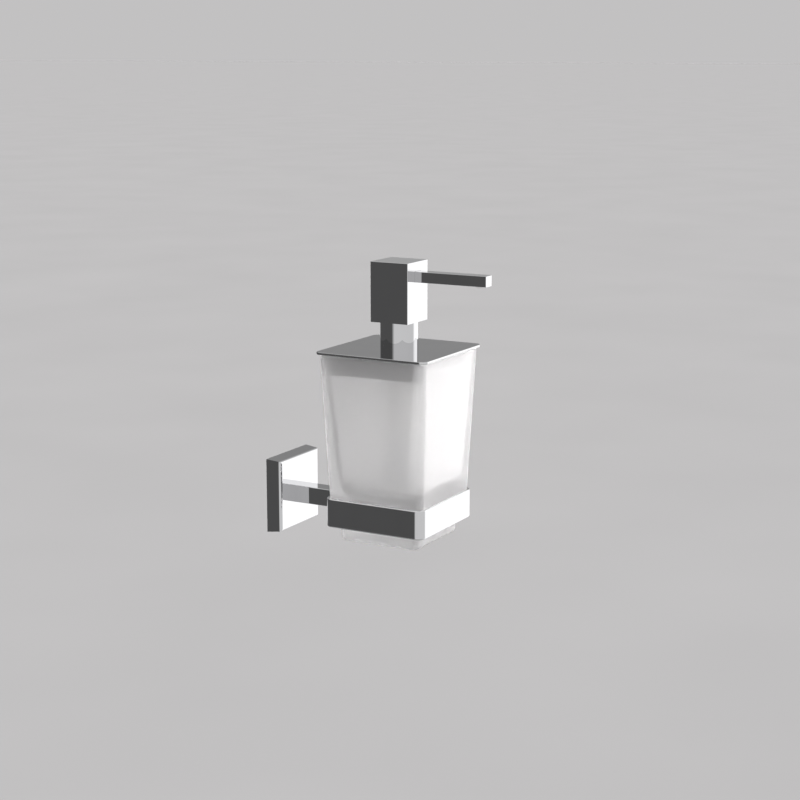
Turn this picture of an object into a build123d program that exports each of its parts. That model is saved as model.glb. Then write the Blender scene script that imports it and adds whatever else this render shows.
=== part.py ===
from build123d import *
import os

# Wall mounted soap dispenser: a square chrome holder, a tapered frosted glass vessel and a push pump.
#
# The origin is the centre of the rosette's back, on the wall. The wall is the plane Y = 0 and the
# dispenser stands out from it along -Y. +Z is up, and +X is to the right for someone facing the wall.
# All lengths are in millimetres.

os.makedirs("parts", exist_ok=True)

# Clearances
fixed_gap = 0.03  # round pieces that are screwed or pushed into one another for good
running_gap = 0.08  # pieces that slide or turn inside one another
free_gap = 0.35  # round pieces that pass each other without touching

# Rosette, the square cover on the wall
rosette_side = 45.0  # across its front
rosette_spread = 1.1  # how much wider each side is at the wall
rosette_depth = 10.0
rosette_wall = 2.0
rosette_edge = 1.8
boss_width = 9.0
boss_rise = 2.0
boss_back = 1.0

# Wall bracket, hidden behind the rosette
bracket_side = 36.0
bracket_thickness = 3.0
bracket_corner = 3.0
wall_hole_radius = 2.6
wall_hole_spacing = 24.0
wall_sink_radius = 4.6
lug_width = 12.0
lug_height = 8.0
lug_depth = 4.8
lug_bottom = -16.5

# Grub screw that locks the rosette to the bracket from below
grub_radius = 2.0
grub_bottom = -22.2
grub_shoulder = -17.0
grub_tip = -15.9
grub_tip_radius = 0.6
grub_socket = 2.0
grub_socket_depth = 2.0
grub_from_wall = 5.4

# Arm, its screw and lock washer
arm_side = 11.0
arm_length = 38.2
arm_drop = 1.6
arm_edge = 0.4
arm_screw_radius = 3.0
arm_screw_reach = 12.0
arm_screw_head_radius = 4.8
arm_screw_head_height = 3.4
arm_screw_socket = 5.0
arm_screw_socket_depth = 2.0
arm_bore_spare = 2.0
washer_thickness = 1.0
washer_split = 0.8

# Holder ring and the gasket on its inner ledge
ring_side = 68.0
ring_height = 18.2
ring_drop = 2.2
ring_wall = 1.4
ring_corner = 5.7
ring_edge = 1.15
ledge_rise = 2.1
ledge_thickness = 1.5
ledge_opening = 56.4
ledge_corner = 5.0
seat_gasket_side = 64.4
seat_gasket_opening = 57.4
seat_gasket_thickness = 0.8

# Glass vessel
foot_side = 54.0
foot_height = 13.4
foot_corner = 4.6
foot_edge = 2.6
foot_recess_side = 40.0
foot_recess_corner = 6.0
foot_recess_depth = 1.0
shoulder_side = 63.4
shoulder_corner = 4.4
rim_side = 72.4
rim_corner = 4.6
rim_edge = 0.8
vessel_height = 102.6
floor_rise = 17.5
cavity_floor_side = 57.4
cavity_floor_corner = 9.0
cavity_floor_fillet = 8.0
cavity_rim_side = 66.6
cavity_rim_corner = 4.4

# Lid
lid_side = 75.6
lid_thickness = 1.5
lid_corner = 4.6
lid_edge = 0.25
lid_gasket_side = 71.4
lid_gasket_opening = 66.9
lid_gasket_thickness = 0.5
skirt_side = 63.0
skirt_corner = 5.0
skirt_wall = 0.9
skirt_height = 12.4

# Collar: the round column on the lid, with a threaded shank through it
collar_radius = 11.65
collar_bore_radius = 10.0
collar_hidden_height = 3.0
collar_edge = 0.4
shank_radius = 9.0
shank_bore_radius = 7.9
shank_length = 9.0
shelf_height = 6.3
collar_washer_radius = 13.0
nut_across_flats = 24.0
nut_height = 4.5
nut_edge = 0.5

# Pump housing, its gasket and the cap that holds it down
housing_radius = 7.5
housing_bore_radius = 6.1
housing_flange_radius = 9.7
housing_flange_height = 1.4
housing_gasket_height = 0.6
housing_depth = 42.8
housing_cone_height = 4.0
neck_radius = 4.6
neck_length = 17.2
chamber_radius = 3.2
chamber_height = 5.2
inlet_radius = 1.6
inlet_length = 4.0
guide_radius = 9.9
guide_height = 6.0
guide_slot_width = 1.6
guide_slot_depth = 1.5

# Dip tube
dip_radius = 2.95
dip_bore_radius = 2.0
dip_above_floor = 3.5

# Valve balls and spring
ball_radius = 2.2
seat_gap = 0.05
spring_seat_height = 1.2
spring_seat_radius = 5.9
spring_seat_bore = 1.6
spring_seat_vent = 0.8
spring_radius = 4.8
wire_radius = 0.5
spring_turns = 8

# Stem and piston
stem_radius = 4.0
stem_bore_radius = 1.7
stem_below_guide = 12.0
stem_above_head_bottom = 22.0
stop_radius = 5.6
stop_height = 3.0
piston_height = 6.0
piston_floor = 2.0
piston_lip_height = 1.4
piston_waist_radius = 5.3

# Pump head and spout
collar_visible_height = 16.8
head_side = 25.4
head_height = 36.7
head_edge = 0.25
head_roof = 2.2
core_height = 15.0
valve_chamber_radius = 2.9
valve_chamber_height = 4.4
passage_radius = 1.6
passage_headroom = 2.2
channel_radius = 1.4
spout_width = 7.7
spout_height = 6.5
spout_edge = 0.2
spout_reach = 47.4
spout_centre_drop = 8.95
spout_root = 5.8
spout_end_wall = 3.4
pocket_gap = 0.05
o_ring_thickness = 0.8
o_ring_radius = 3.0
nozzle_from_tip = 5.2
nozzle_radius = 1.9
nozzle_bore_radius = 1.1
nozzle_flange_radius = 2.4
nozzle_flange_height = 0.5
nozzle_height = 2.0

# Places worked out from the driving dimensions
vessel_y = -(rosette_depth + arm_length + ring_side / 2)
rosette_base = rosette_side + 2 * rosette_spread
boss_bottom = rosette_wall - rosette_side / 2
ring_bottom = -ring_drop - ring_height / 2
ledge_bottom = ring_bottom + ledge_rise
ledge_top = ledge_bottom + ledge_thickness
shoulder_level = ledge_top + seat_gasket_thickness
foot_bottom = shoulder_level - foot_height
floor_level = shoulder_level + floor_rise
rim_level = shoulder_level + vessel_height
lid_bottom = rim_level + lid_gasket_thickness
lid_top = lid_bottom + lid_thickness
head_bottom = lid_top + collar_visible_height
head_top = head_bottom + head_height
collar_top = head_bottom + collar_hidden_height
shank_bottom = lid_top - shank_length
shelf_level = lid_top + shelf_height
flange_bottom = shelf_level + housing_gasket_height
flange_top = flange_bottom + housing_flange_height
ledge_level = flange_top - housing_depth
inlet_level = ledge_level - chamber_height
neck_bottom = ledge_level - neck_length
dip_top = inlet_level - inlet_length
spring_bottom = ledge_level + spring_seat_height
piston_bottom = flange_top - stem_below_guide - piston_floor
stem_bottom = piston_bottom + piston_floor
stem_top = head_bottom + stem_above_head_bottom
core_bottom = head_top - head_roof - core_height
core_top = head_top - head_roof
spout_level = head_top - spout_centre_drop
head_front = vessel_y - head_side / 2
spout_tip = head_front - spout_reach
spout_back = vessel_y - spout_root
pocket_back = spout_back + o_ring_thickness
valve_chamber_top = stem_top + valve_chamber_height
passage_top = spout_level + passage_headroom
core_radius = collar_radius + free_gap - fixed_gap
head_bore_radius = collar_radius + free_gap

# The pump and vessel share one upright axis, and turned pieces are drawn as half sections on it:
# local X is the radius and local Y the height.
pump_axis = Axis((0, vessel_y, 0), (0, 0, 1))
half_section = Plane(origin=(0, vessel_y, 0), x_dir=(1, 0, 0), z_dir=(0, -1, 0))


def level(height):
    """The horizontal plane at this height, centred on the vessel's axis."""
    return Plane(origin=(0, vessel_y, height))


def from_wall(distance, height=0):
    """The upright plane this far in front of the wall, facing the room: local X is X, local Y is Z."""
    return Plane(origin=(0, -distance, height), x_dir=(1, 0, 0), z_dir=(0, -1, 0))


def height_on_ball(hole_radius):
    """How far a valve ball's centre is from the edge of the round hole that it closes."""
    return (ball_radius**2 - hole_radius**2) ** 0.5


# ---- Holder -------------------------------------------------------------------------------------

# The bracket is screwed to the wall through two countersunk holes. Its lug takes the grub screw's tip.
with BuildPart() as wall_bracket:
    with BuildSketch(from_wall(0)):
        RectangleRounded(bracket_side, bracket_side, bracket_corner)
    extrude(amount=bracket_thickness)
    with BuildSketch(from_wall(bracket_thickness, lug_bottom)):
        Rectangle(lug_width, lug_height, align=(Align.CENTER, Align.MIN))
    extrude(amount=lug_depth)
    with Locations(from_wall(bracket_thickness)):
        with GridLocations(wall_hole_spacing, 0, 2, 1):
            CounterSinkHole(wall_hole_radius, wall_sink_radius)
    with Locations((0, -grub_from_wall, (lug_bottom + grub_tip) / 2)):
        Cone(grub_radius, grub_tip_radius, grub_tip - lug_bottom + seat_gap, mode=Mode.SUBTRACT)

# The rosette is a hollow cover that widens towards the wall. A boss behind its lower wall carries the
# grub screw's thread.
with BuildPart() as rosette:
    with BuildSketch(from_wall(0)):
        Rectangle(rosette_base, rosette_base)
    with BuildSketch(from_wall(rosette_depth)):
        Rectangle(rosette_side, rosette_side)
    loft(ruled=True)
    fillet(rosette.faces().sort_by(Axis.Y)[0].edges(), rosette_edge)
    with BuildSketch(from_wall(0)):
        Rectangle(rosette_side - 2 * rosette_wall, rosette_side - 2 * rosette_wall)
    extrude(amount=rosette_depth - rosette_wall, mode=Mode.SUBTRACT)
    with BuildSketch(from_wall(boss_back, boss_bottom)):
        Rectangle(boss_width, boss_rise, align=(Align.CENTER, Align.MIN))
    extrude(amount=rosette_depth - rosette_wall - boss_back)
    with Locations(Plane(origin=(0, -grub_from_wall, -rosette_base / 2), z_dir=(0, 0, -1))):
        Hole(grub_radius + fixed_gap, depth=rosette_base / 2 + boss_bottom + boss_rise)
    with Locations(from_wall(rosette_depth, -arm_drop)):
        Hole(arm_screw_radius + fixed_gap, depth=rosette_wall)

with BuildPart() as rosette_grub_screw:
    grub_section = Plane(origin=(0, -grub_from_wall, 0), x_dir=(1, 0, 0), z_dir=(0, -1, 0))
    with BuildSketch(grub_section):
        with BuildLine():
            Polyline(
                (0, grub_bottom),
                (grub_radius, grub_bottom),
                (grub_radius, grub_shoulder),
                (grub_tip_radius, grub_tip),
                (0, grub_tip),
                close=True,
            )
        make_face()
    revolve(axis=Axis((0, -grub_from_wall, 0), (0, 0, 1)))
    with BuildSketch(Plane(origin=(0, -grub_from_wall, grub_bottom))):
        RegularPolygon(grub_socket / 2, 6, major_radius=False)
    extrude(amount=grub_socket_depth, mode=Mode.SUBTRACT)

# The arm's screw goes through the rosette from behind, over a split lock washer.
washer_front = rosette_depth - rosette_wall
head_seat = washer_front - washer_thickness
with BuildPart() as arm_lock_washer:
    with BuildSketch(from_wall(head_seat, -arm_drop)):
        Circle(arm_screw_head_radius)
        Circle(arm_screw_radius + fixed_gap, mode=Mode.SUBTRACT)
        Rectangle(arm_screw_head_radius, washer_split, align=(Align.MIN, Align.CENTER), mode=Mode.SUBTRACT)
    extrude(amount=washer_thickness)

with BuildPart() as arm_screw:
    with BuildSketch(from_wall(head_seat - arm_screw_head_height, -arm_drop)):
        Circle(arm_screw_head_radius)
    extrude(amount=arm_screw_head_height)
    with BuildSketch(from_wall(head_seat, -arm_drop)):
        Circle(arm_screw_radius)
    extrude(amount=washer_thickness + rosette_wall + arm_screw_reach)
    chamfer(arm_screw.faces().sort_by(Axis.Y)[0].edges(), arm_edge)
    fillet(arm_screw.faces().sort_by(Axis.Y)[-1].edges(), arm_edge)
    with BuildSketch(from_wall(head_seat - arm_screw_head_height, -arm_drop)):
        RegularPolygon(arm_screw_socket / 2, 6, major_radius=False)
    extrude(amount=arm_screw_socket_depth, mode=Mode.SUBTRACT)

with BuildPart() as arm:
    with BuildSketch(from_wall(rosette_depth, -arm_drop)):
        Rectangle(arm_side, arm_side)
    extrude(amount=arm_length)
    fillet(arm.edges().filter_by(Axis.Y), arm_edge)
    with BuildSketch(from_wall(rosette_depth, -arm_drop)):
        Circle(arm_screw_radius + fixed_gap)
    extrude(amount=arm_screw_reach + arm_bore_spare, mode=Mode.SUBTRACT)

# The ring is a thin square band with rounded outer edges, brazed to the arm. The vessel's shoulder
# rests on the ledge inside it.
ring_bore_side = ring_side - 2 * ring_wall
ring_bore_corner = ring_corner - ring_wall
with BuildPart() as holder_ring:
    with BuildSketch(level(ring_bottom)):
        RectangleRounded(ring_side, ring_side, ring_corner)
    extrude(amount=ring_height)
    fillet(holder_ring.faces().sort_by(Axis.Z)[-1].edges(), ring_edge)
    fillet(holder_ring.faces().sort_by(Axis.Z)[0].edges(), ring_edge)
    with BuildSketch(level(ledge_top)):
        RectangleRounded(ring_bore_side, ring_bore_side, ring_bore_corner)
    extrude(amount=ring_height, mode=Mode.SUBTRACT)
    with BuildSketch(level(ring_bottom)):
        RectangleRounded(ring_bore_side, ring_bore_side, ring_bore_corner)
    extrude(amount=ledge_rise, mode=Mode.SUBTRACT)
    with BuildSketch(level(ledge_bottom)):
        RectangleRounded(ledge_opening, ledge_opening, ledge_corner)
    extrude(amount=ledge_thickness, mode=Mode.SUBTRACT)

with BuildPart() as seat_gasket:
    with BuildSketch(level(ledge_top)):
        RectangleRounded(seat_gasket_side, seat_gasket_side, ring_bore_corner)
        RectangleRounded(seat_gasket_opening, seat_gasket_opening, ledge_corner, mode=Mode.SUBTRACT)
    extrude(amount=seat_gasket_thickness)

# ---- Vessel -------------------------------------------------------------------------------------

# The vessel widens from its shoulder to its rim, and its thick walls thin out towards the rim. A
# narrower foot goes down through the ring.
with BuildPart() as glass_vessel:
    with BuildSketch(level(shoulder_level)):
        RectangleRounded(shoulder_side, shoulder_side, shoulder_corner)
    with BuildSketch(level(rim_level)):
        RectangleRounded(rim_side, rim_side, rim_corner)
    loft(ruled=True)
    with BuildSketch(level(floor_level)):
        RectangleRounded(cavity_floor_side, cavity_floor_side, cavity_floor_corner)
    with BuildSketch(level(rim_level)):
        RectangleRounded(cavity_rim_side, cavity_rim_side, cavity_rim_corner)
    loft(ruled=True, mode=Mode.SUBTRACT)
    cavity_floor = glass_vessel.faces().filter_by(Plane.XY).sort_by(Axis.Z)[1]
    fillet(cavity_floor.edges(), cavity_floor_fillet)
    rim_face = glass_vessel.faces().filter_by(Plane.XY).sort_by(Axis.Z)[-1]
    fillet(rim_face.edges(), rim_edge)
    with BuildSketch(level(foot_bottom)):
        RectangleRounded(foot_side, foot_side, foot_corner)
    extrude(amount=foot_height)
    foot_face = glass_vessel.faces().sort_by(Axis.Z)[0]
    fillet(foot_face.edges(), foot_edge)
    with BuildSketch(level(foot_bottom)):
        RectangleRounded(foot_recess_side, foot_recess_side, foot_recess_corner)
    extrude(amount=foot_recess_depth, mode=Mode.SUBTRACT)

# ---- Lid ----------------------------------------------------------------------------------------

with BuildPart() as lid_plate:
    with BuildSketch(level(lid_bottom)):
        RectangleRounded(lid_side, lid_side, lid_corner)
    extrude(amount=lid_thickness)
    fillet(lid_plate.faces().sort_by(Axis.Z)[-1].edges(), lid_edge)
    fillet(lid_plate.faces().sort_by(Axis.Z)[0].edges(), lid_edge)
    with Locations(level(lid_top)):
        Hole(shank_radius + fixed_gap, depth=lid_thickness)

# The skirt under the lid keeps it centred in the vessel's mouth.
with BuildPart() as lid_skirt:
    with BuildSketch(level(lid_bottom)):
        RectangleRounded(skirt_side, skirt_side, skirt_corner)
        offset(amount=-skirt_wall, mode=Mode.SUBTRACT)
    extrude(amount=-skirt_height)

with BuildPart() as lid_gasket:
    with BuildSketch(level(rim_level)):
        RectangleRounded(lid_gasket_side, lid_gasket_side, rim_corner)
        RectangleRounded(lid_gasket_opening, lid_gasket_opening, cavity_rim_corner, mode=Mode.SUBTRACT)
    extrude(amount=lid_gasket_thickness)

# The collar's shank goes down through the lid to the nut, and an inner shelf carries the pump.
with BuildPart() as collar:
    with BuildSketch(half_section):
        with BuildLine():
            Polyline(
                (shank_bore_radius, shank_bottom),
                (shank_radius, shank_bottom),
                (shank_radius, lid_top),
                (collar_radius, lid_top),
                (collar_radius, collar_top),
                (collar_bore_radius, collar_top),
                (collar_bore_radius, shelf_level),
                (shank_bore_radius, shelf_level),
                close=True,
            )
        make_face()
    revolve(axis=pump_axis)
    fillet(collar.edges().filter_by(GeomType.CIRCLE).group_by(Axis.Z)[-1], collar_edge)

with BuildPart() as collar_washer:
    with BuildSketch(level(lid_bottom)):
        Circle(collar_washer_radius)
        Circle(shank_radius + fixed_gap, mode=Mode.SUBTRACT)
    extrude(amount=-washer_thickness)

with BuildPart() as lock_nut:
    with BuildSketch(level(lid_bottom - washer_thickness)):
        RegularPolygon(nut_across_flats / 2, 6, major_radius=False)
        Circle(shank_radius + fixed_gap, mode=Mode.SUBTRACT)
    extrude(amount=-nut_height)
    chamfer(lock_nut.edges().filter_by(GeomType.CIRCLE), nut_edge)

# ---- Pump body ----------------------------------------------------------------------------------

with BuildPart() as housing_gasket:
    with BuildSketch(level(shelf_level)):
        Circle(housing_flange_radius)
        Circle(shank_bore_radius, mode=Mode.SUBTRACT)
    extrude(amount=housing_gasket_height)

# The housing is a long cup with a flange at its top. Its floor has the chamber of the inlet valve, and
# the dip tube is pushed into its neck.
with BuildPart() as pump_housing:
    with BuildSketch(half_section):
        with BuildLine():
            Polyline(
                (housing_bore_radius, flange_top),
                (housing_flange_radius, flange_top),
                (housing_flange_radius, flange_bottom),
                (housing_radius, flange_bottom),
                (housing_radius, ledge_level),
                (neck_radius, ledge_level - housing_cone_height),
                (neck_radius, neck_bottom),
                (dip_radius + fixed_gap, neck_bottom),
                (dip_radius + fixed_gap, dip_top),
                (inlet_radius, dip_top),
                (inlet_radius, inlet_level),
                (chamber_radius, inlet_level),
                (chamber_radius, ledge_level),
                (housing_bore_radius, ledge_level),
                close=True,
            )
        make_face()
    revolve(axis=pump_axis)

# The guide is screwed into the collar over the housing's flange. It keeps the stem upright.
with BuildPart() as stem_guide:
    with BuildSketch(level(flange_top)):
        Circle(guide_radius)
        Circle(stem_radius + running_gap, mode=Mode.SUBTRACT)
    extrude(amount=guide_height)
    with BuildSketch(level(flange_top + guide_height)):
        Rectangle(2 * guide_radius, guide_slot_width)
    extrude(amount=-guide_slot_depth, mode=Mode.SUBTRACT)

with BuildPart() as dip_tube:
    with BuildSketch(level(dip_top)):
        Circle(dip_radius)
        Circle(dip_bore_radius, mode=Mode.SUBTRACT)
    extrude(amount=floor_level + dip_above_floor - dip_top)
    slant_centre = (0, vessel_y, floor_level + dip_above_floor + dip_radius)
    split(bisect_by=Plane(origin=slant_centre, z_dir=(0, 1, 1)), keep=Keep.TOP)

# The spring's seat also keeps the inlet ball in its chamber, and liquid passes through its vents.
with BuildPart() as spring_seat:
    with BuildSketch(level(ledge_level)):
        Circle(spring_seat_radius)
        Circle(spring_seat_bore, mode=Mode.SUBTRACT)
        with PolarLocations(spring_seat_bore, 3):
            SlotCenterToCenter(spring_seat_bore, 2 * spring_seat_vent, mode=Mode.SUBTRACT)
    extrude(amount=spring_seat_height)

with BuildPart() as inlet_ball:
    with Locations((0, vessel_y, inlet_level + height_on_ball(inlet_radius) + seat_gap)):
        Sphere(ball_radius)

# ---- Plunger ------------------------------------------------------------------------------------

spring_wire_gap = wire_radius + seat_gap
spring_height = piston_bottom - spring_bottom - 2 * spring_wire_gap
with BuildPart() as spring:
    with BuildLine():
        coil = Helix(
            pitch=spring_height / spring_turns,
            height=spring_height,
            radius=spring_radius,
            center=(0, vessel_y, spring_bottom + spring_wire_gap),
        )
    with BuildSketch(Plane(origin=coil @ 0, z_dir=coil % 0)):
        Circle(wire_radius)
    sweep(is_frenet=True)

# The stem is a tube with a stop that meets the guide when the pump is up.
with BuildPart() as stem:
    with BuildSketch(half_section):
        with BuildLine():
            Polyline(
                (stem_bore_radius, stem_bottom),
                (stem_radius, stem_bottom),
                (stem_radius, flange_top - stop_height),
                (stop_radius, flange_top - stop_height),
                (stop_radius, flange_top),
                (stem_radius, flange_top),
                (stem_radius, stem_top),
                (stem_bore_radius, stem_top),
                close=True,
            )
        make_face()
    revolve(axis=pump_axis)

# The piston has a wiping lip at each end and a waist between them.
piston_radius = housing_bore_radius - running_gap
piston_top = piston_bottom + piston_height
with BuildPart() as piston:
    with BuildSketch(half_section):
        with BuildLine():
            Polyline(
                (stem_bore_radius, piston_bottom),
                (piston_radius, piston_bottom),
                (piston_radius, piston_bottom + piston_lip_height),
                (piston_waist_radius, piston_bottom + piston_lip_height),
                (piston_waist_radius, piston_top - piston_lip_height),
                (piston_radius, piston_top - piston_lip_height),
                (piston_radius, piston_top),
                (stem_radius + fixed_gap, piston_top),
                (stem_radius + fixed_gap, stem_bottom),
                (stem_bore_radius, stem_bottom),
                close=True,
            )
        make_face()
    revolve(axis=pump_axis)

with BuildPart() as outlet_ball:
    with Locations((0, vessel_y, stem_top + height_on_ball(stem_bore_radius) + seat_gap)):
        Sphere(ball_radius)

# ---- Head ---------------------------------------------------------------------------------------

spout_plane = from_wall(-spout_back, spout_level)

# The head is a square bar bored from below, so that it slides down over the collar.
with BuildPart() as head_shell:
    with BuildSketch(level(head_bottom)):
        Rectangle(head_side, head_side)
    extrude(amount=head_height)
    fillet(head_shell.edges().filter_by(Axis.Z), head_edge)
    fillet(head_shell.faces().sort_by(Axis.Z)[-1].edges(), head_edge)
    with BuildSketch(level(head_bottom)):
        Circle(head_bore_radius)
    extrude(amount=head_height - head_roof, mode=Mode.SUBTRACT)
    with BuildSketch(spout_plane):
        Rectangle(spout_width + 2 * pocket_gap, spout_height + 2 * pocket_gap)
    extrude(amount=head_side, mode=Mode.SUBTRACT)

# The core fills the top of the head. It joins the stem, the outlet valve and the spout.
with BuildPart() as head_core:
    with BuildSketch(half_section):
        with BuildLine():
            Polyline(
                (0, core_top),
                (core_radius, core_top),
                (core_radius, core_bottom),
                (stem_radius + running_gap, core_bottom),
                (stem_radius + running_gap, stem_top),
                (valve_chamber_radius, stem_top),
                (valve_chamber_radius, valve_chamber_top),
                (passage_radius, valve_chamber_top),
                (passage_radius, passage_top),
                (0, passage_top),
                close=True,
            )
        make_face()
    revolve(axis=pump_axis)
    with BuildSketch(from_wall(-pocket_back, spout_level)):
        Rectangle(spout_width + 2 * pocket_gap, spout_height + 2 * pocket_gap)
    extrude(amount=head_side, mode=Mode.SUBTRACT)
    with BuildSketch(from_wall(-vessel_y, spout_level)):
        Circle(channel_radius)
    extrude(amount=head_side, mode=Mode.SUBTRACT)

with BuildPart() as spout_o_ring:
    with BuildSketch(from_wall(-pocket_back, spout_level)):
        Circle(o_ring_radius)
        Circle(channel_radius, mode=Mode.SUBTRACT)
    extrude(amount=o_ring_thickness)

# The spout is a thin square bar, drilled from its root. Its outlet opens downwards near the tip.
nozzle_y = spout_tip + nozzle_from_tip
spout_bottom = spout_level - spout_height / 2
with BuildPart() as spout:
    with BuildSketch(spout_plane):
        Rectangle(spout_width, spout_height)
    extrude(amount=spout_back - spout_tip)
    fillet(spout.edges().filter_by(Axis.Y), spout_edge)
    fillet(spout.faces().sort_by(Axis.Y)[0].edges(), spout_edge)
    with BuildSketch(spout_plane):
        Circle(channel_radius)
    extrude(amount=spout_back - spout_tip - spout_end_wall, mode=Mode.SUBTRACT)
    with Locations(Plane(origin=(0, nozzle_y, spout_bottom), z_dir=(0, 0, -1))):
        Hole(nozzle_radius + fixed_gap, depth=spout_height / 2)

with BuildPart() as nozzle:
    with BuildSketch(Plane(origin=(0, nozzle_y, spout_bottom - nozzle_flange_height))):
        Circle(nozzle_flange_radius)
    extrude(amount=nozzle_flange_height)
    with BuildSketch(Plane(origin=(0, nozzle_y, spout_bottom))):
        Circle(nozzle_radius)
    extrude(amount=nozzle_height)
    with BuildSketch(Plane(origin=(0, nozzle_y, spout_bottom - nozzle_flange_height))):
        Circle(nozzle_bore_radius)
    extrude(amount=nozzle_flange_height + nozzle_height, mode=Mode.SUBTRACT)

# ---- Files --------------------------------------------------------------------------------------

pieces = {
    "wall_bracket": wall_bracket,
    "rosette": rosette,
    "rosette_grub_screw": rosette_grub_screw,
    "arm_lock_washer": arm_lock_washer,
    "arm_screw": arm_screw,
    "arm": arm,
    "holder_ring": holder_ring,
    "seat_gasket": seat_gasket,
    "glass_vessel": glass_vessel,
    "lid_plate": lid_plate,
    "lid_skirt": lid_skirt,
    "lid_gasket": lid_gasket,
    "collar": collar,
    "collar_washer": collar_washer,
    "lock_nut": lock_nut,
    "housing_gasket": housing_gasket,
    "pump_housing": pump_housing,
    "stem_guide": stem_guide,
    "dip_tube": dip_tube,
    "spring_seat": spring_seat,
    "inlet_ball": inlet_ball,
    "spring": spring,
    "stem": stem,
    "piston": piston,
    "outlet_ball": outlet_ball,
    "head_shell": head_shell,
    "head_core": head_core,
    "spout_o_ring": spout_o_ring,
    "spout": spout,
    "nozzle": nozzle,
}
for name, piece in pieces.items():
    piece.part.label = name
    export_step(piece.part, f"parts/{name}.step")
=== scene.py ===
import math

import bpy
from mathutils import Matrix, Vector


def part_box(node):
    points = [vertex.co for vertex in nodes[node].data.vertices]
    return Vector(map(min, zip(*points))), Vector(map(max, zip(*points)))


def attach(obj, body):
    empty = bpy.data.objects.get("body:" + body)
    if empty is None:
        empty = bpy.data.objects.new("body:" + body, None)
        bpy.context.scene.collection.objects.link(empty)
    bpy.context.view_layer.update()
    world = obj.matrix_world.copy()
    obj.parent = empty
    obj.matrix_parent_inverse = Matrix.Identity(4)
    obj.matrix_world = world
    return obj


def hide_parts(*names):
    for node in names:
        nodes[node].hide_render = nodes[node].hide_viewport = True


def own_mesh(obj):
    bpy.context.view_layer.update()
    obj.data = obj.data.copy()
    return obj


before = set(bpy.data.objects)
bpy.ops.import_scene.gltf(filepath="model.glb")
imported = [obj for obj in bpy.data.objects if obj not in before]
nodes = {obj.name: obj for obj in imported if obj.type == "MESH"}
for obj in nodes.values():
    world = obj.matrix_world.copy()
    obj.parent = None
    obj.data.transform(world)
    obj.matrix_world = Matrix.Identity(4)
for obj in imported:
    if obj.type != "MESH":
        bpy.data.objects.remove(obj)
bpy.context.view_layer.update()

# The places that the looks are built round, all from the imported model.
glass_low, glass_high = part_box("glass_vessel")
spring_low, spring_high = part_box("spring")
pump_y = (glass_low.y + glass_high.y) / 2


# ---------------------------------------------------------------- node helpers
def new_material(name):
    """A node material with only its Principled shader and its output."""
    material = bpy.data.materials.new(name)
    material.use_nodes = True
    tree = material.node_tree
    tree.nodes.clear()
    output = tree.nodes.new("ShaderNodeOutputMaterial")
    shader = tree.nodes.new("ShaderNodeBsdfPrincipled")
    tree.links.new(shader.outputs["BSDF"], output.inputs["Surface"])
    return material, tree, shader


def feed(tree, socket, value):
    """Sets a socket to a number or colour, or links it to another socket."""
    if isinstance(value, bpy.types.NodeSocket):
        tree.links.new(value, socket)
    else:
        socket.default_value = value


def math_node(tree, operation, *values):
    node = tree.nodes.new("ShaderNodeMath")
    node.operation = operation
    for socket, value in zip(node.inputs, values):
        feed(tree, socket, value)
    return node.outputs[0]


def map_range(tree, value, low, high, to_low, to_high, smooth=False):
    node = tree.nodes.new("ShaderNodeMapRange")
    node.interpolation_type = "SMOOTHSTEP" if smooth else "LINEAR"
    for name, setting in zip(
        ("Value", "From Min", "From Max", "To Min", "To Max"), (value, low, high, to_low, to_high)
    ):
        feed(tree, node.inputs[name], setting)
    return node.outputs["Result"]


def mix_colour(tree, factor, first, second):
    node = tree.nodes.new("ShaderNodeMix")
    node.data_type = "RGBA"
    feed(tree, node.inputs["Factor"], factor)
    feed(tree, node.inputs["A"], first)
    feed(tree, node.inputs["B"], second)
    return node.outputs["Result"]


def object_place(tree, stretch=(1, 1, 1)):
    """Object coordinates in metres, stretched so that a pattern is longer one way than another."""
    place = tree.nodes.new("ShaderNodeTexCoord").outputs["Object"]
    node = tree.nodes.new("ShaderNodeMapping")
    tree.links.new(place, node.inputs["Vector"])
    node.inputs["Scale"].default_value = stretch
    return node.outputs["Vector"]


def noise(tree, place, size, detail=2.0, roughness=0.5):
    """Noise whose features are about size metres across."""
    node = tree.nodes.new("ShaderNodeTexNoise")
    tree.links.new(place, node.inputs["Vector"])
    node.inputs["Scale"].default_value = 1 / size
    node.inputs["Detail"].default_value = detail
    node.inputs["Roughness"].default_value = roughness
    return node.outputs["Fac"]


def bump(tree, height, depth, normal=None):
    """A bump whose full height is depth metres."""
    node = tree.nodes.new("ShaderNodeBump")
    node.inputs["Strength"].default_value = 1.0
    node.inputs["Distance"].default_value = depth
    tree.links.new(height, node.inputs["Height"])
    if normal is not None:
        tree.links.new(normal, node.inputs["Normal"])
    return node.outputs["Normal"]


def grey(level, alpha=1.0):
    return (level, level, level, alpha)


# ---------------------------------------------------------------- materials
CHROME_TINT = (0.66, 0.66, 0.67)
CHROME_ROUGHNESS = 0.01
HAIRLINE_ROUGHNESS = 0.012
SMEAR_SIZE = 0.016
SMEAR_DULLING = 0.955
HAIRLINE_SIZE = 0.0011

# The glass: its cavity's floor above its base, the middle of its wall inward from the rim's outside, and
# how far that middle leans in from the rim to the cavity's floor.
CAVITY_FLOOR = 0.0309
WALL_MIDDLE = 0.00145
WALL_SLOPE = 0.0042
BASE_MARGIN = 0.0004
RIM_MARGIN = 0.0006
ETCHED_ROUGHNESS = 0.62
ETCHED_VARIATION = 0.03
INNER_ROUGHNESS = 0.4
GLASS_TRANSMISSION = 0.84
GLASS_IOR = 1.5
GLASS_TINT = (0.99, 0.985, 0.985, 1)
GLASS_TINT_DIM = (0.975, 0.97, 0.972, 1)
GRAIN_DEPTH = 0.00001
WAVE_DEPTH = 0.00006

PLASTIC_IOR = 1.49


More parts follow.
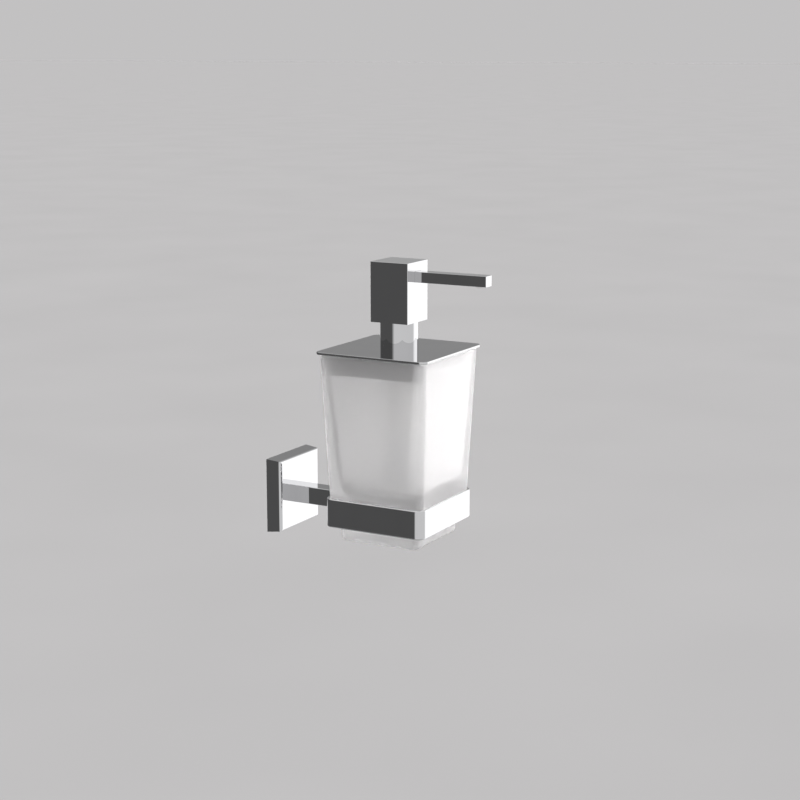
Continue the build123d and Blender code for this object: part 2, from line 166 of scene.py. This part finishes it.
def patches(tree, pattern):
    """Zero to one across the middle of a noise pattern, where most of its values lie."""
    return map_range(tree, pattern, 0.3, 0.7, 0.0, 1.0)


def polished_chrome(name, tint, smear, ripple_size, ripple_depth):
    """Chrome plate: a clean mirror with faint polishing ripple, wiped smears and fine hairlines."""
    material, tree, shader = new_material(name)
    place = object_place(tree)
    upright, level = object_place(tree, (1.0, 1.0, 0.35)), object_place(tree, (1.0, 1.0, 9.0))
    smears = noise(tree, upright, size=SMEAR_SIZE, detail=3.0, roughness=0.55)
    hairlines = noise(tree, level, size=HAIRLINE_SIZE, detail=2.0, roughness=0.6)
    rough = map_range(
        tree, smears, 0.42, 0.72, CHROME_ROUGHNESS, CHROME_ROUGHNESS + smear, smooth=True
    )
    fine = map_range(tree, hairlines, 0.55, 0.8, 0.0, HAIRLINE_ROUGHNESS)
    feed(tree, shader.inputs["Roughness"], math_node(tree, "ADD", rough, fine))
    shade = map_range(tree, smears, 0.3, 0.8, 0.0, 1.0)
    duller = tuple(SMEAR_DULLING * c for c in tint) + (1.0,)
    feed(tree, shader.inputs["Base Color"], mix_colour(tree, shade, tint + (1.0,), duller))
    shader.inputs["Metallic"].default_value = 1.0
    ripple = noise(tree, place, size=ripple_size, detail=1.0, roughness=0.4)
    feed(tree, shader.inputs["Normal"], bump(tree, ripple, ripple_depth))
    return material


def frosted_glass():
    """Satin glass: etched outside, less rough inside, and nearly colourless."""
    material, tree, shader = new_material("satin_glass")
    place = object_place(tree)
    split = tree.nodes.new("ShaderNodeSeparateXYZ")
    tree.links.new(tree.nodes.new("ShaderNodeTexCoord").outputs["Object"], split.inputs["Vector"])
    across = math_node(tree, "ABSOLUTE", split.outputs["X"])
    along = math_node(tree, "ABSOLUTE", math_node(tree, "SUBTRACT", split.outputs["Y"], pump_y))
    reach = math_node(tree, "MAXIMUM", across, along)
    # The middle of the wall at the cavity's floor and at the rim tells inside from outside.
    floor_z, rim_z = glass_low.z + CAVITY_FLOOR, glass_high.z
    rim_half = glass_high.x - WALL_MIDDLE
    middle = map_range(tree, split.outputs["Z"], floor_z, rim_z, rim_half - WALL_SLOPE, rim_half)
    beyond = math_node(tree, "GREATER_THAN", reach, middle)
    base = math_node(tree, "LESS_THAN", split.outputs["Z"], floor_z - BASE_MARGIN)
    rim = math_node(tree, "GREATER_THAN", split.outputs["Z"], rim_z - RIM_MARGIN)
    outside = math_node(tree, "MAXIMUM", beyond, math_node(tree, "MAXIMUM", base, rim))
    mottle = noise(tree, place, size=0.011, detail=3.0, roughness=0.55)
    etched = map_range(
        tree, mottle, 0.3, 0.7, ETCHED_ROUGHNESS - ETCHED_VARIATION, ETCHED_ROUGHNESS + ETCHED_VARIATION
    )
    rougher = math_node(tree, "SUBTRACT", etched, INNER_ROUGHNESS)
    rough = math_node(tree, "MULTIPLY_ADD", outside, rougher, INNER_ROUGHNESS)
    feed(tree, shader.inputs["Roughness"], rough)
    tint = mix_colour(tree, patches(tree, mottle), GLASS_TINT, GLASS_TINT_DIM)
    feed(tree, shader.inputs["Base Color"], tint)
    grain = noise(tree, place, size=0.0005, detail=2.0, roughness=0.6)
    wave = noise(tree, place, size=0.02, detail=1.0, roughness=0.4)
    fine = bump(tree, math_node(tree, "MULTIPLY", grain, outside), GRAIN_DEPTH)
    feed(tree, shader.inputs["Normal"], bump(tree, wave, WAVE_DEPTH, fine))
    shader.inputs["IOR"].default_value = GLASS_IOR
    shader.inputs["Transmission Weight"].default_value = GLASS_TRANSMISSION
    return material


def cast_zinc():
    """Zinc as cast: a grainy skin with slightly lighter flow marks."""
    material, tree, shader = new_material("cast_zinc")
    place = object_place(tree)
    skin = noise(tree, place, size=0.0009, detail=4.0, roughness=0.6)
    flow = noise(tree, place, size=0.009, detail=3.0, roughness=0.5)
    tint = mix_colour(tree, patches(tree, flow), (0.5, 0.51, 0.52, 1), (0.6, 0.61, 0.62, 1))
    feed(tree, shader.inputs["Base Color"], tint)
    feed(tree, shader.inputs["Roughness"], map_range(tree, skin, 0.3, 0.7, 0.36, 0.56))
    shader.inputs["Metallic"].default_value = 1.0
    feed(tree, shader.inputs["Normal"], bump(tree, skin, 0.00004))
    return material


def bright_steel():
    """Drawn steel, with fine marks across Z."""
    material, tree, shader = new_material("bright_steel")
    drawn = noise(tree, object_place(tree, (1.0, 1.0, 5.0)), size=0.0012, detail=3.0, roughness=0.6)
    cloud = noise(tree, object_place(tree), size=0.004, detail=2.0, roughness=0.5)
    tint = mix_colour(tree, patches(tree, cloud), (0.64, 0.64, 0.65, 1), (0.72, 0.72, 0.72, 1))
    feed(tree, shader.inputs["Base Color"], tint)
    feed(tree, shader.inputs["Roughness"], map_range(tree, drawn, 0.3, 0.7, 0.16, 0.32))
    shader.inputs["Metallic"].default_value = 1.0
    feed(tree, shader.inputs["Normal"], bump(tree, drawn, 0.000012))
    return material


def moulded_plastic(name, light, dark, low_rough, high_rough, clear=0.0, skin_depth=0.00003):
    """Moulded plastic or rubber, with a fine tool texture and slightly uneven gloss."""
    material, tree, shader = new_material(name)
    place = object_place(tree)
    tool = noise(tree, place, size=0.0004, detail=2.0, roughness=0.6)
    cloud = noise(tree, place, size=0.007, detail=3.0, roughness=0.5)
    feed(tree, shader.inputs["Base Color"], mix_colour(tree, patches(tree, cloud), light, dark))
    feed(tree, shader.inputs["Roughness"], map_range(tree, cloud, 0.3, 0.7, low_rough, high_rough))
    shader.inputs["IOR"].default_value = PLASTIC_IOR
    shader.inputs["Transmission Weight"].default_value = clear
    feed(tree, shader.inputs["Normal"], bump(tree, tool, skin_depth))
    return material


plate_chrome = polished_chrome(
    "plate_chrome", CHROME_TINT, smear=0.022, ripple_size=0.03, ripple_depth=0.000008
)
cast_chrome = polished_chrome(
    "cast_chrome", CHROME_TINT, smear=0.03, ripple_size=0.014, ripple_depth=0.000005
)
turned_chrome = polished_chrome(
    "turned_chrome", CHROME_TINT, smear=0.025, ripple_size=0.02, ripple_depth=0.000005
)
slot_materials = {
    "chrome": plate_chrome,
    "frosted_glass": frosted_glass(),
    "zinc": cast_zinc(),
    "steel": bright_steel(),
    "white_plastic": moulded_plastic(
        "natural_plastic", (0.86, 0.86, 0.85, 1), (0.8, 0.8, 0.78, 1), low_rough=0.35, high_rough=0.5
    ),
    "clear_plastic": moulded_plastic(
        "tube_plastic", (0.88, 0.9, 0.9, 1), (0.83, 0.86, 0.86, 1), low_rough=0.18, high_rough=0.3,
        clear=0.75, skin_depth=0.00001,
    ),
    "clear_rubber": moulded_plastic(
        "soft_vinyl", (0.82, 0.84, 0.84, 1), (0.76, 0.78, 0.78, 1), low_rough=0.4, high_rough=0.6,
        clear=0.35,
    ),
    "piston_rubber": moulded_plastic(
        "black_rubber", (0.035, 0.035, 0.038, 1), (0.02, 0.02, 0.022, 1), low_rough=0.5, high_rough=0.7
    ),
}
node_materials = {
    "rosette": cast_chrome,
    "arm": cast_chrome,
    "holder_ring": cast_chrome,
    "collar": turned_chrome,
}
for node_name, node in nodes.items():
    for material_slot in node.material_slots:
        packed_name = material_slot.material.name.split(".")[0]
        material_slot.material = node_materials.get(node_name, slot_materials[packed_name])


# ---------------------------------------------------------------- the spring
WIRE_RADIUS = 0.0005
CLOSED_TURN_GAP = 1.04


def wound_spring(name, low, high, axis_y, turns, closed_turns, wire_radius, sides, steps_per_turn):
    """A compression spring between two levels, its end turns closed and its wire cut square."""
    mean_radius = (high.x - low.x) / 2 - wire_radius
    bottom, top = low.z + wire_radius, high.z - wire_radius
    steps = int(turns * steps_per_turn)
    pitch_closed = 2 * wire_radius * CLOSED_TURN_GAP
    open_turns = turns - 2 * closed_turns
    pitch_open = (top - bottom - 2 * closed_turns * pitch_closed) / open_turns
    verts, faces = [], []
    for step in range(steps + 1):
        turn = turns * step / steps
        if turn < closed_turns:
            height, pitch = bottom + turn * pitch_closed, pitch_closed
        elif turn > turns - closed_turns:
            height, pitch = top - (turns - turn) * pitch_closed, pitch_closed
        else:
            height = bottom + closed_turns * pitch_closed + (turn - closed_turns) * pitch_open
            pitch = pitch_open
        angle = 2 * math.pi * turn
        outward = Vector((math.cos(angle), math.sin(angle), 0))
        climb = pitch / (2 * math.pi * mean_radius)
        along = Vector((-math.sin(angle), math.cos(angle), climb)).normalized()
        upward = outward.cross(along) * -1
        centre = Vector((0, axis_y, height)) + outward * mean_radius
        for side in range(sides):
            around = 2 * math.pi * side / sides
            spoke = math.cos(around) * outward + math.sin(around) * upward
            verts.append(centre + wire_radius * spoke)
    for step in range(steps):
        for side in range(sides):
            here, beside = step * sides + side, step * sides + (side + 1) % sides
            faces.append((here, beside, beside + sides, here + sides))
    faces.append(tuple(reversed(range(sides))))
    faces.append(tuple(range(steps * sides, (steps + 1) * sides)))
    mesh = bpy.data.meshes.new(name)
    mesh.from_pydata(verts, [], faces)
    mesh.validate()
    mesh.update()
    for polygon in mesh.polygons[:-2]:
        polygon.use_smooth = True
    spring_object = bpy.data.objects.new(name, mesh)
    bpy.context.scene.collection.objects.link(spring_object)
    return spring_object


spring = wound_spring(
    "wound_spring", spring_low, spring_high, pump_y, turns=8.0, closed_turns=1.0,
    wire_radius=WIRE_RADIUS, sides=12, steps_per_turn=36,
)
spring.data.materials.append(slot_materials["steel"])
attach(spring, "lid")
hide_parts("spring")
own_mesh(spring)


# ---------------------------------------------------------------- studio
# The light is chosen by the kind of ray: glossy rays see a plain room, camera rays a plain background, and
# all other rays a broad light that is brighter on one side, with a soft key.
#
# The room that glossy rays see, at eye level, in degrees from +X towards +Y, each with its light: a dark
# screen on one side, a large soft box on the other and a pale room between them.
ROUND_THE_ROOM = (
    (0, 0.8), (40, 0.7), (60, 0.1), (165, 0.1), (180, 0.8), (270, 0.8), (300, 0.8), (316, 1.6), (344, 1.6),
)
# The shaded wall side above eye level: elevation in degrees and light.
UP_THE_WALL = ((0.0, 0.8), (9.0, 0.3), (25.0, 0.3), (45.0, 0.9))
# The wall side's first and last bearing and its soft edge, counted from WALL_SIDE_ORIGIN so that it doesn't
# cross zero.
WALL_SIDE_ORIGIN = -60.0
WALL_SIDE = (48.0, 118.0)
WALL_SIDE_EDGE = 10.0
WALL_SIDE_RISE = 4.0
# The overhead and floor light, each with the elevations where it starts and where it is full.
OVERHEAD_LIGHT = 0.9
OVERHEAD_START, OVERHEAD_FULL = 20.0, 40.0
FLOOR_LIGHT = 0.5
FLOOR_START, FLOOR_FULL = -34.0, -52.0

# The light for all other rays: its middle level, the share of it that is added on one side and taken away
# on the other, and the soft key with the cosines of its outer and inner edge.
MATT_LEVEL = 1.75
MATT_SLANT = 0.75
MATT_SLANT_BEARING = 5.0
MATT_KEY = 9.5
MATT_KEY_BEARING = 331.0
MATT_KEY_HEIGHT = 9.0
MATT_KEY_EDGE = (0.80, 0.93)
MATT_TINT = (1.0, 0.985, 0.99)
BACKDROP = (0.54, 0.533, 0.536, 1)


def window(tree, value, low, high, soft):
    """One between low and high, easing to nothing over soft at each side."""
    rise = map_range(tree, value, low - soft / 2, low + soft / 2, 0.0, 1.0, smooth=True)
    drop = map_range(tree, value, high - soft / 2, high + soft / 2, 1.0, 0.0, smooth=True)
    return math_node(tree, "MULTIPLY", rise, drop)


def light_ramp(tree, angle, full_angle, stops):
    """Light that changes with an angle, over stops of (degrees, light)."""
    node = tree.nodes.new("ShaderNodeValToRGB")
    elements = node.color_ramp.elements
    while len(elements) > 1:
        elements.remove(elements[-1])
    elements[0].position = stops[0][0] / full_angle
    elements[0].color = grey(stops[0][1])
    for degrees, light in stops[1:]:
        elements.new(degrees / full_angle).color = grey(light)
    tree.links.new(math_node(tree, "DIVIDE", angle, full_angle), node.inputs["Fac"])
    return node.outputs["Color"]


def mirrored_room(tree, bearing, elevation):
    """What glossy rays see: a plain room with a dark side, a soft box and a shaded wall."""
    colour = light_ramp(tree, bearing, 360.0, ROUND_THE_ROOM)
    overhead = map_range(tree, elevation, OVERHEAD_START, OVERHEAD_FULL, 0.0, 1.0, smooth=True)
    colour = mix_colour(tree, overhead, colour, grey(OVERHEAD_LIGHT))
    wall = light_ramp(tree, elevation, 90.0, UP_THE_WALL)
    turned = math_node(tree, "ADD", bearing, -WALL_SIDE_ORIGIN)
    turned = math_node(tree, "WRAP", turned, 360.0, 0.0)
    wall_side = window(tree, turned, *WALL_SIDE, WALL_SIDE_EDGE)
    above = map_range(tree, elevation, 0.0, WALL_SIDE_RISE, 0.0, 1.0, smooth=True)
    colour = mix_colour(tree, math_node(tree, "MULTIPLY", wall_side, above), colour, wall)
    under = map_range(tree, elevation, FLOOR_FULL, FLOOR_START, 1.0, 0.0, smooth=True)
    return mix_colour(tree, under, colour, grey(FLOOR_LIGHT))


def matt_room(tree, x, y, z):
    """The light for all other rays: broad, brighter on one side, with a soft key."""
    bearing, height = math.radians(MATT_KEY_BEARING), math.radians(MATT_KEY_HEIGHT)
    towards_x = math_node(tree, "MULTIPLY", x, math.cos(height) * math.cos(bearing))
    towards_y = math_node(tree, "MULTIPLY_ADD", y, math.cos(height) * math.sin(bearing), towards_x)
    facing = math_node(tree, "MULTIPLY_ADD", z, math.sin(height), towards_y)
    key = map_range(tree, facing, *MATT_KEY_EDGE, 0.0, MATT_KEY, smooth=True)
    slant = math.radians(MATT_SLANT_BEARING)
    slant_x = MATT_LEVEL * MATT_SLANT * math.cos(slant)
    slant_y = MATT_LEVEL * MATT_SLANT * math.sin(slant)
    broad = math_node(tree, "MULTIPLY_ADD", x, slant_x, MATT_LEVEL)
    broad = math_node(tree, "MULTIPLY_ADD", y, slant_y, broad)
    light = math_node(tree, "ADD", key, broad)
    shade = tree.nodes.new("ShaderNodeCombineXYZ")
    for socket, tint in zip(shade.inputs, MATT_TINT):
        tree.links.new(math_node(tree, "MULTIPLY", light, tint), socket)
    return shade.outputs["Vector"]


def background(tree, colour):
    node = tree.nodes.new("ShaderNodeBackground")
    feed(tree, node.inputs["Color"], colour)
    return node.outputs["Background"]


def build_world():
    """The studio: one background for each kind of ray, chosen by the light path."""
    world = bpy.data.worlds.new("studio")
    bpy.context.scene.world = world
    world.use_nodes = True
    tree = world.node_tree
    tree.nodes.clear()
    direction = tree.nodes.new("ShaderNodeTexCoord").outputs["Generated"]
    split = tree.nodes.new("ShaderNodeSeparateXYZ")
    tree.links.new(direction, split.inputs["Vector"])
    x, y, z = (split.outputs[name] for name in "XYZ")
    bearing = math_node(tree, "DEGREES", math_node(tree, "ARCTAN2", y, x))
    bearing = math_node(tree, "WRAP", bearing, 360.0, 0.0)
    elevation = math_node(tree, "DEGREES", math_node(tree, "ARCSINE", z))
    path = tree.nodes.new("ShaderNodeLightPath")
    matt, mirrored, backdrop = (
        background(tree, colour)
        for colour in (matt_room(tree, x, y, z), mirrored_room(tree, bearing, elevation), BACKDROP)
    )
    chosen = matt
    for ray, light in (("Is Glossy Ray", mirrored), ("Is Camera Ray", backdrop)):
        choice = tree.nodes.new("ShaderNodeMixShader")
        tree.links.new(path.outputs[ray], choice.inputs["Fac"])
        tree.links.new(chosen, choice.inputs[1])
        tree.links.new(light, choice.inputs[2])
        chosen = choice.outputs["Shader"]
    output = tree.nodes.new("ShaderNodeOutputWorld")
    tree.links.new(chosen, output.inputs["Surface"])


build_world()


# ---------------------------------------------------------------- floor
FLOOR_LEVEL = -0.45
FLOOR_REACH = 80.0
FLOOR_TONE = 0.24
FLOOR_MOTTLE = 0.01


def pale_floor():
    material, tree, shader = new_material("pale_floor")
    cloud = noise(tree, object_place(tree), size=0.4, detail=2.0, roughness=0.5)
    darker, lighter = grey(FLOOR_TONE - FLOOR_MOTTLE), grey(FLOOR_TONE + FLOOR_MOTTLE)
    feed(tree, shader.inputs["Base Color"], mix_colour(tree, cloud, darker, lighter))
    shader.inputs["Roughness"].default_value = 0.9
    shader.inputs["Specular IOR Level"].default_value = 0.0
    return material


def lay_floor():
    """A plain floor well below the object, which glossy and transmitted rays don't see."""
    corners = [
        (x * FLOOR_REACH, y * FLOOR_REACH, FLOOR_LEVEL) for x, y in ((-1, -1), (1, -1), (1, 1), (-1, 1))
    ]
    mesh = bpy.data.meshes.new("floor")
    mesh.from_pydata(corners, [], [(0, 1, 2, 3)])
    mesh.materials.append(pale_floor())
    plane = bpy.data.objects.new("floor", mesh)
    bpy.context.scene.collection.objects.link(plane)
    plane.visible_glossy = False
    plane.visible_transmission = False


lay_floor()

# ---------------------------------------------------------------- camera
# It stands to the left of the object, in front of the wall and a little above, and looks down at it. Angles
# are in degrees, and the turn is counted from looking along +Y.
CAMERA_PLACE = (-0.907347, -0.582641, 0.276469)
CAMERA_DOWN = 11.5168
CAMERA_TURN = -61.1497
CAMERA_LENS = 77.77
SENSOR_WIDTH = 36.0

camera_data = bpy.data.cameras.new("camera")
camera_data.sensor_fit = "HORIZONTAL"
camera_data.sensor_width = SENSOR_WIDTH
camera_data.lens = CAMERA_LENS
camera_data.clip_start = 0.01
camera = bpy.data.objects.new("camera", camera_data)
camera.location = CAMERA_PLACE
camera.rotation_euler = (math.radians(90 - CAMERA_DOWN), 0.0, math.radians(CAMERA_TURN))
bpy.context.scene.collection.objects.link(camera)
bpy.context.scene.camera = camera
bpy.context.scene.view_settings.view_transform = "Standard"
